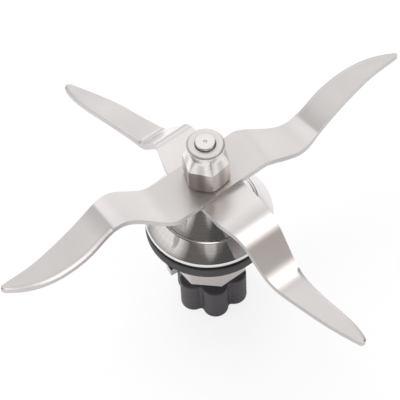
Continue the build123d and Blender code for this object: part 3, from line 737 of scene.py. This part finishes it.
# %% A whole blade
# The top keeps its finish; the underside and the sides get darker copies, painted shade
POLISHED, UNDERSIDE_SHADE, SIDE_SHADE = range(3)
FACES_UP = 0.5
HUB_SIDES_END = 11.0 * MM
BLADE_EDGE_BREAK = 0.2 * MM


def sheet_finish(face):
    """Which finish a face of a blade has: the top's, or a darker copy painted as shade below and at the
    sides. The hub's sides get the underside's painted shade.
    """
    if face.normal.z > FACES_UP:
        return POLISHED
    far_out = face.calc_center_median().xy.length > HUB_SIDES_END
    return SIDE_SHADE if far_out and face.normal.z > -FACES_UP else UNDERSIDE_SHADE


def pressed_blade(name, first_arm, second_arm, top, turn, finish, node):
    """Press a flat strip into a blade of two arms, the first along X, and turn it to its place."""
    strip = flat_strip(first_arm.reach)
    for vertex in strip.verts:
        x, y, z = vertex.co
        side, arm = (1, first_arm) if x >= 0 else (-1, second_arm)
        point = arm.pressed((side * x, side * y, z))
        vertex.co = (side * point.x, side * point.y, point.z + top)
    bmesh.ops.rotate(strip, cent=(0, 0, 0), matrix=Matrix.Rotation(turn, 3, "Z"), verts=strip.verts[:])
    bmesh.ops.recalc_face_normals(strip, faces=strip.faces[:])
    for face in strip.faces:
        face.material_index = sheet_finish(face)
    blade = finish_piece(name, strip, finish, "rotor", node, BLADE_EDGE_BREAK)
    blade.data.materials.append(shaded_underside_steel)
    blade.data.materials.append(shaded_side_steel)


print("edge break of a blade in mm:", round(BLADE_EDGE_BREAK / MM, 2))


# %% Upper blade
upper_arm = BladeShape(
    reach=73.3,
    hub_end=16.0,
    bends=(19.5, 34.5),
    rises=(2.4, 4.3),
    bend_radii=(30.0, 8.0),
    pitch=0.13,
    leading=(6.45, 0.2, -0.9, 1.6, 2.8, 1.7),
    trailing=(-8.7, -12.25, -11.3, -8.5, -6.3, -4.8),
    ends=(-0.8, 0.1),
    tip=(-3.9, 1.0, 0.4),
)
nut_bottom, nut_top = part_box("clamp_nut")
pressed_blade(
    "upper_blade_sheet", upper_arm, upper_arm, nut_bottom.z, 0.0, upper_blade_steel, "upper_blade"
)

# %% Lower blade
back_arm = BladeShape(
    reach=67.6,
    hub_end=8.0,
    bends=(21.0, 29.5),
    rises=(-9.7, -14.9),
    bend_radii=(6.0, 6.0),
    pitch=0.0,
    leading=(3.9, 3.5, 3.4, 4.2, 5.5, 6.7),
    trailing=(-8.6, -7.0, -6.1, -4.1, -2.2, 0.7),
    ends=(-0.3, 0.4),
    tip=(5.1, 1.8, 0.8),
)
front_arm = BladeShape(
    reach=67.6,
    hub_end=14.0,
    bends=(22.0, 37.0),
    rises=(-10.7, -14.9),
    bend_radii=(20.0, 20.0),
    pitch=0.0,
    leading=(7.5, 6.5, 5.25, 4.95, 5.75, 6.7),
    trailing=(-6.2, -5.6, -4.95, -3.2, -1.2, 1.2),
    ends=(-0.3, 0.4),
    tip=(5.1, 1.8, 0.8),
)
lower_top = nut_bottom.z - SHEET
pressed_blade(
    "lower_blade_sheet", back_arm, front_arm, lower_top, math.pi / 2, lower_blade_steel, "lower_blade"
)

# %% [markdown]
# ## Turned pieces
# The bell, the gasket, the nut and the shaft all start on a lathe. In Blender that is a profile of
# a few points and one full spin about the axis. The corners that a tool or a mould rounds off are
# bevelled afterwards, ring by ring, which keeps the profile down to the points that carry the shape.

# %% Lathe
LATHE_STEPS = 360
ON_RING = 0.01 * MM


def lathe(profile):
    """Spin a closed profile of radius and height pairs about Z, one step for each degree."""
    turned = bmesh.new()
    points = [turned.verts.new((radius, 0, height)) for radius, height in profile]
    for first, second in zip(points, points[1:] + points[:1]):
        turned.edges.new((first, second))
    bmesh.ops.spin(
        turned,
        geom=turned.verts[:] + turned.edges[:],
        cent=(0, 0, 0),
        axis=(0, 0, 1),
        angle=2 * math.pi,
        steps=LATHE_STEPS,
        use_merge=True,
    )
    bmesh.ops.remove_doubles(turned, verts=turned.verts[:], dist=SAME_PLACE)
    bmesh.ops.recalc_face_normals(turned, faces=turned.faces[:])
    return turned


def ring_edges(turned, radius, height):
    """The edges of the ring at a radius and a height."""
    def on_ring(vertex):
        return abs(vertex.co.xy.length - radius) < ON_RING and abs(vertex.co.z - height) < ON_RING

    return [edge for edge in turned.edges if all(on_ring(vertex) for vertex in edge.verts)]


def round_edges(mesh, edges, size, segments):
    """Round off some edges."""
    bmesh.ops.bevel(
        mesh,
        geom=edges,
        offset=size,
        offset_type="OFFSET",
        segments=segments,
        profile=0.5,
        affect="EDGES",
        material=-1,
    )


def round_rings(turned, rounds):
    """Round off the corners that run around, each given by radius, height, size and segments."""
    for radius, height, size, segments in rounds:
        round_edges(turned, ring_edges(turned, radius, height), size, segments)


def polygon_reach(angle, sides):
    """How far a polygon's wall lies at an angle, as a multiple of its distance at a flat's middle."""
    step = 2 * math.pi / sides
    return 1 / math.cos((angle + step / 2) % step - step / 2)


print("degrees in one lathe step:", 360 / LATHE_STEPS)


# %% [markdown]
# ## The bell housing
# The housing is turned from one bar: a spigot that goes through the jug's floor, a rim that presses
# the gasket down, and a bell in two slopes with a narrow step between them. Its foot is then milled
# to an octagon and keeps two bayonet ears. After the spin, the foot's points are pushed out to the
# octagon, and the faces between the ears' angles are extruded, as a mill would leave them standing.

# %% Bell profile
foot_z, bell_top_z = (corner.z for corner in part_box("bearing_housing"))
gasket_low, gasket_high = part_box("sealing_gasket")
RIM_Z = gasket_high.z
BORE_RADIUS = 9.5 * MM
SPIGOT_RADIUS = 11.7 * MM
FOOT_TOP_Z = foot_z + 7.0 * MM
EAR_TOP_Z = foot_z + 3.0 * MM
RIM_RADIUS = 20.2 * MM
RIM_TOP_Z = RIM_Z + 1.7 * MM
SHOULDER_RADIUS = 15.35 * MM
SHOULDER_Z = RIM_Z + 6.85 * MM
LEDGE = 0.7 * MM
NECK_RADIUS = 8.6 * MM
SEAL_RADIUS = 7.2 * MM
SEAL_Z = bell_top_z - 4.0 * MM
PASSAGE_RADIUS = 5.6 * MM
BORE_TOP_Z = RIM_Z + 9.0 * MM
BORE_MOUTH = 0.5 * MM
RIM_ROUND = 0.7 * MM
RIM_TOP_ROUND = 0.35 * MM
SHOULDER_ROUND = 0.55 * MM
NECK_ROUND = 0.2 * MM

# A step too small to see, which tells the points of a milled part from those next to it
SEAM = 0.01 * MM

bell = lathe(
    (
        (BORE_RADIUS + BORE_MOUTH, foot_z),
        (SPIGOT_RADIUS, foot_z),
        (SPIGOT_RADIUS, EAR_TOP_Z),
        (SPIGOT_RADIUS, FOOT_TOP_Z - SEAM),
        (SPIGOT_RADIUS - SEAM, FOOT_TOP_Z),
        (SPIGOT_RADIUS - SEAM, RIM_Z),
        (RIM_RADIUS, RIM_Z),
        (RIM_RADIUS, RIM_TOP_Z),
        (SHOULDER_RADIUS, SHOULDER_Z),
        (SHOULDER_RADIUS - LEDGE, SHOULDER_Z),
        (NECK_RADIUS, bell_top_z),
        (SEAL_RADIUS, bell_top_z),
        (SEAL_RADIUS, SEAL_Z),
        (PASSAGE_RADIUS, SEAL_Z),
        (PASSAGE_RADIUS, BORE_TOP_Z),
        (BORE_RADIUS, BORE_TOP_Z),
        (BORE_RADIUS, foot_z + BORE_MOUTH),
    )
)
round_rings(
    bell,
    (
        (RIM_RADIUS, RIM_Z, RIM_ROUND, 6),
        (RIM_RADIUS, RIM_TOP_Z, RIM_TOP_ROUND, 4),
        (SHOULDER_RADIUS, SHOULDER_Z, SHOULDER_ROUND, 6),
        (NECK_RADIUS, bell_top_z, NECK_ROUND, 3),
    ),
)
print("bell faces:", len(bell.faces))

# %% Octagon and ears
FOOT_SIDES = 8
EAR_RADIUS = 14.8 * MM
EAR_ANGLES = ((128, 173), (308, 353))
EAR_WALL = 0.5 * MM
UPRIGHT = 0.1
BELL_EDGE_BREAK = 0.1 * MM

for vertex in bell.verts:
    below_seam = vertex.co.z < FOOT_TOP_Z - SEAM / 2
    if below_seam and vertex.co.xy.length > SPIGOT_RADIUS - SEAM / 2:
        angle = math.atan2(vertex.co.y, vertex.co.x)
        vertex.co.xy = vertex.co.xy * polygon_reach(angle, FOOT_SIDES)

for first, last in EAR_ANGLES:
    wall = []
    for face in bell.faces:
        centre = face.calc_center_median()
        angle = math.degrees(math.atan2(centre.y, centre.x)) % 360
        upright = abs(face.normal.z) < UPRIGHT
        outside = centre.xy.length > SPIGOT_RADIUS - EAR_WALL
        if first < angle < last and foot_z < centre.z < EAR_TOP_Z and upright and outside:
            wall.append(face)
    grown = bmesh.ops.extrude_face_region(bell, geom=wall)["geom"]
    bmesh.ops.delete(bell, geom=wall, context="FACES_ONLY")
    for vertex in grown:
        if isinstance(vertex, bmesh.types.BMVert):
            vertex.co.xy = vertex.co.xy.normalized() * EAR_RADIUS
finish_piece("bell_housing", bell, bell_steel, "housing", "bearing_housing", BELL_EDGE_BREAK)

# %% [markdown]
# ## The gasket
# A square-cut rubber ring fills the space under the rim. Its upper edge is stepped back, which
# leaves the thin dark line that shows between steel and rubber.

# %% Gasket
GASKET_STEP = 1.6 * MM
GASKET_STEP_Z = gasket_high.z - 1.3 * MM
GASKET_ROUND = 0.6 * MM
GASKET_STEP_ROUND = 0.25 * MM
gasket_radius = gasket_high.x

gasket = lathe(
    (
        (SPIGOT_RADIUS, gasket_low.z),
        (gasket_radius, gasket_low.z),
        (gasket_radius, GASKET_STEP_Z),
        (gasket_radius - GASKET_STEP, GASKET_STEP_Z),
        (gasket_radius - GASKET_STEP, gasket_high.z),
        (SPIGOT_RADIUS, gasket_high.z),
    )
)
round_rings(
    gasket,
    (
        (gasket_radius, gasket_low.z, GASKET_ROUND, 5),
        (gasket_radius, GASKET_STEP_Z, GASKET_STEP_ROUND, 3),
    ),
)
finish_piece("gasket_ring", gasket, gasket_rubber, "housing", "sealing_gasket", 0)

# %% [markdown]
# ## The clamping nut
# The nut is turned from hexagon bar: the flats stay for the spanner, and above them the tool runs the
# hexagon into a round neck under a collar with a rolled edge. One way is to cut a hexagonal prism with
# cones. Here the nut is spun as a round blank first, and each point of its wall is then pushed out to
# the hexagon, less and less over the height of the taper, so hexagon and circle meet without a seam.
# The lowest ring follows the hexagon in height too, which chamfers the corners above a round face.

# %% Nut
NUT_HALF_FLATS = 6.5 * MM
NUT_FACE_RADIUS = 6.0 * MM
TAPER_RINGS = 16
NUT_NECK_RADIUS = 5.4 * MM
COLLAR_RADIUS = 5.96 * MM
COLLAR_ROUND = 1.0 * MM
LIP_Z = nut_top.z - 1.6 * MM
LIP_SLOPE = 0.4 * MM
NUT_THREAD_RADIUS = 4.0 * MM
NUT_THREAD_Z = nut_bottom.z + 10.4 * MM
NUT_MOUTH_RADIUS = 3.24 * MM
NUT_MOUTH_ROUND = 0.06 * MM
CORNER_SHARPNESS = 200
BLANK_WALL = 8.0 * MM
BASE_RING = 1.0 * MM


def hexagon_radius(angle):
    """Radius of the nut's hexagon with slightly broken corners."""
    reach = 0.0
    for side in range(NUT_SIDES):
        lean = math.cos(angle - NUT_TURN - side * 2 * math.pi / NUT_SIDES)
        reach += max(0.0, lean) ** CORNER_SHARPNESS
    return NUT_HALF_FLATS / reach ** (1 / CORNER_SHARPNESS)


taper_heights = [NUT_HEX_Z + TAPER_HEIGHT * ring / TAPER_RINGS for ring in range(TAPER_RINGS + 1)]
nut = lathe(
    [
        (NUT_THREAD_RADIUS, NUT_THREAD_Z),
        (NUT_THREAD_RADIUS, nut_bottom.z),
        (NUT_FACE_RADIUS, nut_bottom.z),
        (BLANK_WALL, nut_bottom.z + BASE_RING),
        *[(BLANK_WALL, height) for height in taper_heights],
        (NUT_NECK_RADIUS, LIP_Z - LIP_SLOPE),
        (COLLAR_RADIUS, LIP_Z),
        (COLLAR_RADIUS, nut_top.z),
        (NUT_MOUTH_RADIUS, nut_top.z),
        (NUT_MOUTH_RADIUS, NUT_THREAD_Z),
    ]
)
round_rings(
    nut,
    ((COLLAR_RADIUS, nut_top.z, COLLAR_ROUND, 6), (NUT_MOUTH_RADIUS, nut_top.z, NUT_MOUTH_ROUND, 2)),
)
for vertex in nut.verts:
    if vertex.co.xy.length > BLANK_WALL - SAME_PLACE:
        hexagon = hexagon_radius(math.atan2(vertex.co.y, vertex.co.x))
        roundness = max(0.0, (vertex.co.z - NUT_HEX_Z) / TAPER_HEIGHT)
        if vertex.co.z < NUT_HEX_Z - SAME_PLACE:
            vertex.co.z = nut_bottom.z + hexagon - NUT_FACE_RADIUS
        radius = hexagon * (1 - roundness) + NUT_NECK_RADIUS * roundness
        vertex.co.xy = vertex.co.xy.normalized() * radius
for edge in nut.edges:
    edge.smooth = any(abs(vertex.co.z - NUT_HEX_Z) > SAME_PLACE for vertex in edge.verts)
finish_piece("hexagon_nut", nut, nut_steel, "rotor", "clamp_nut", 0)

# %% [markdown]
# ## The shaft
# Only the ends of the shaft show: a chamfered tip with a lathe's centre mark inside the nut, and a
# short length above the coupling. It is still made whole, so that no view finds it missing. Two
# flats are milled by pulling the points beyond them back onto the flat.

# %% Shaft
shaft_low, shaft_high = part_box("drive_shaft")
coupling_low, coupling_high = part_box("drive_coupling")
SEAT_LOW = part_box("seat_washer")[0].z
RING_LOW, RING_HIGH = (corner.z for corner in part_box("shaft_retaining_ring"))
DRIVE_RADIUS = 3.5 * MM
DRIVE_HALF_FLATS = 2.8 * MM
SHAFT_RADIUS = 4.0 * MM
GROOVE_RADIUS = 3.7 * MM
JOURNAL_RADIUS = 5.0 * MM
JOURNAL_HALF_FLATS = 4.2 * MM
FLATS_STEP = 0.002 * MM
FLATS_RADIUS = JOURNAL_RADIUS + FLATS_STEP
FLATS_TOP_Z = nut_bottom.z - 0.4 * MM
TIP_RADIUS = 3.06 * MM
TIP_CHAMFER = 0.2 * MM
MARK_RADIUS = 0.6 * MM
MARK_BEND = 0.7 * MARK_RADIUS
TAPPED_RADIUS = 2.0 * MM
TAPPED_TOP_Z = shaft_low.z + 8.0 * MM
AXIS = 0.02 * MM

shaft = lathe(
    (
        (TAPPED_RADIUS, shaft_low.z),
        (DRIVE_RADIUS, shaft_low.z),
        (DRIVE_RADIUS, coupling_high.z),
        (SHAFT_RADIUS, coupling_high.z),
        (SHAFT_RADIUS, RING_LOW),
        (GROOVE_RADIUS, RING_LOW),
        (GROOVE_RADIUS, RING_HIGH),
        (SHAFT_RADIUS, RING_HIGH),
        (SHAFT_RADIUS, BORE_TOP_Z),
        (JOURNAL_RADIUS, BORE_TOP_Z),
        (JOURNAL_RADIUS, SEAT_LOW),
        (FLATS_RADIUS, SEAT_LOW + SEAM),
        (FLATS_RADIUS, FLATS_TOP_Z),
        (SHAFT_RADIUS, FLATS_TOP_Z),
        (SHAFT_RADIUS, NUT_THREAD_Z),
        (TIP_RADIUS, NUT_THREAD_Z),
        (TIP_RADIUS, shaft_high.z - TIP_CHAMFER),
        (TIP_RADIUS - TIP_CHAMFER, shaft_high.z),
        (MARK_RADIUS, shaft_high.z),
        (MARK_BEND, shaft_high.z - MARK_BEND),
        (AXIS, shaft_high.z - MARK_RADIUS),
        (AXIS, TAPPED_TOP_Z),
        (TAPPED_RADIUS, TAPPED_TOP_Z),
    )
)
for vertex in shaft.verts:
    limit = None
    in_coupling = vertex.co.z < coupling_high.z + SAME_PLACE
    if in_coupling and vertex.co.xy.length < DRIVE_RADIUS + SAME_PLACE:
        limit = DRIVE_HALF_FLATS
    if SEAT_LOW + SEAM / 2 < vertex.co.z < FLATS_TOP_Z + SAME_PLACE:
        limit = JOURNAL_HALF_FLATS
    if limit:
        vertex.co.x = max(-limit, min(limit, vertex.co.x))
finish_piece("shaft_bar", shaft, shaft_steel, "rotor", "drive_shaft", 0)

# %% [markdown]
# ## The drive coupling
# The coupling is moulded around a metal bush: six round lobes with soft valleys, which drop into
# the motor's socket. Its cross-section is turned as a plain ring first. The outer wall is then drawn
# out to the lobes by the geometry of circles that meet in a fillet, and the inner wall to a hexagon.

# %% Coupling
LOBES = 6
LOBE_RADIUS = 4.2 * MM
LOBE_CIRCLE = 7.6 * MM
VALLEY_ROUND = 1.0 * MM
BUSH_SIDES = 6
BUSH_HALF_FLATS = 5.0 * MM
BUSH_TURN = math.pi / 6
POCKET_RADIUS = 4.4 * MM
bush_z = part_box("coupling_bush")[0].z
BLANK_RADIUS = 10.0 * MM
HEX_BLANK_RADIUS = 5.5 * MM
NEARLY = 0.99
FOOT_ROUND = 1.2 * MM
TOP_ROUND = 0.5 * MM
MOULD_SEGMENTS = 5

half_step = math.pi / LOBES
across = LOBE_CIRCLE * math.cos(half_step)
valley_centre = across + math.sqrt(across**2 - LOBE_CIRCLE**2 + (LOBE_RADIUS + VALLEY_ROUND) ** 2)
touch = Vector((valley_centre * math.cos(half_step), valley_centre * math.sin(half_step)))
touch = Vector((LOBE_CIRCLE, 0)).lerp(touch, LOBE_RADIUS / (LOBE_RADIUS + VALLEY_ROUND))
touch_angle = math.atan2(touch.y, touch.x)


def lobe_radius(angle):
    """Radius of the lobed outline at an angle."""
    from_lobe = abs((angle + half_step) % (2 * half_step) - half_step)
    if from_lobe < touch_angle:
        along = LOBE_CIRCLE * math.cos(from_lobe)
        return along + math.sqrt(LOBE_RADIUS**2 - (LOBE_CIRCLE * math.sin(from_lobe)) ** 2)
    from_valley = half_step - from_lobe
    along = valley_centre * math.cos(from_valley)
    return along - math.sqrt(max(0.0, VALLEY_ROUND**2 - (valley_centre * math.sin(from_valley)) ** 2))


coupling = lathe(
    (
        (POCKET_RADIUS, coupling_low.z),
        (BLANK_RADIUS, coupling_low.z),
        (BLANK_RADIUS, coupling_high.z),
        (HEX_BLANK_RADIUS, coupling_high.z),
        (HEX_BLANK_RADIUS, bush_z),
        (POCKET_RADIUS, bush_z),
    )
)
foot_ring = ring_edges(coupling, BLANK_RADIUS, coupling_low.z)
top_ring = ring_edges(coupling, BLANK_RADIUS, coupling_high.z)
for vertex in coupling.verts:
    angle = math.atan2(vertex.co.y, vertex.co.x)
    if vertex.co.xy.length > NEARLY * BLANK_RADIUS:
        vertex.co.xy = vertex.co.xy.normalized() * lobe_radius(angle)
    elif vertex.co.xy.length > NEARLY * HEX_BLANK_RADIUS:
        reach = BUSH_HALF_FLATS * polygon_reach(angle + BUSH_TURN, BUSH_SIDES)
        vertex.co.xy = vertex.co.xy.normalized() * reach
round_edges(coupling, foot_ring, FOOT_ROUND, MOULD_SEGMENTS)
round_edges(coupling, top_ring, TOP_ROUND, MOULD_SEGMENTS)
finish_piece("lobed_coupling", coupling, coupling_plastic, "rotor", "drive_coupling", 0)

# %% [markdown]
# ## The pieces inside
# Bearings, spacers, seals and rings are seen only from below or when the part is taken apart. Their
# CAD shapes are right as they are, so they only get their finishes.

# %% Inner pieces
INNER_FINISHES = {
    "coupling_bush": bush_brass,
    "coupling_washer": zinc_steel,
    "coupling_screw": zinc_steel,
    "outer_spacer": spacer_aluminium,
    "inner_spacer": spacer_aluminium,
    "shaft_seal": seal_rubber,
    "seal_spring": zinc_steel,
    "bore_retaining_ring": spring_steel,
    "shaft_retaining_ring": spring_steel,
    "seat_washer": shaft_steel,
}
for bearing in ("upper", "lower"):
    INNER_FINISHES[f"{bearing}_bearing_outer_race"] = ground_steel
    INNER_FINISHES[f"{bearing}_bearing_inner_race"] = ground_steel
    INNER_FINISHES[f"{bearing}_bearing_balls"] = ball_steel
    INNER_FINISHES[f"{bearing}_bearing_cage"] = cage_nylon
    INNER_FINISHES[f"{bearing}_bearing_shields"] = zinc_steel
for node, finish in INNER_FINISHES.items():
    inner_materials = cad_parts[node].data.materials
    inner_materials.clear()
    inner_materials.append(finish)
print("inner pieces finished:", len(INNER_FINISHES))

# %% [markdown]
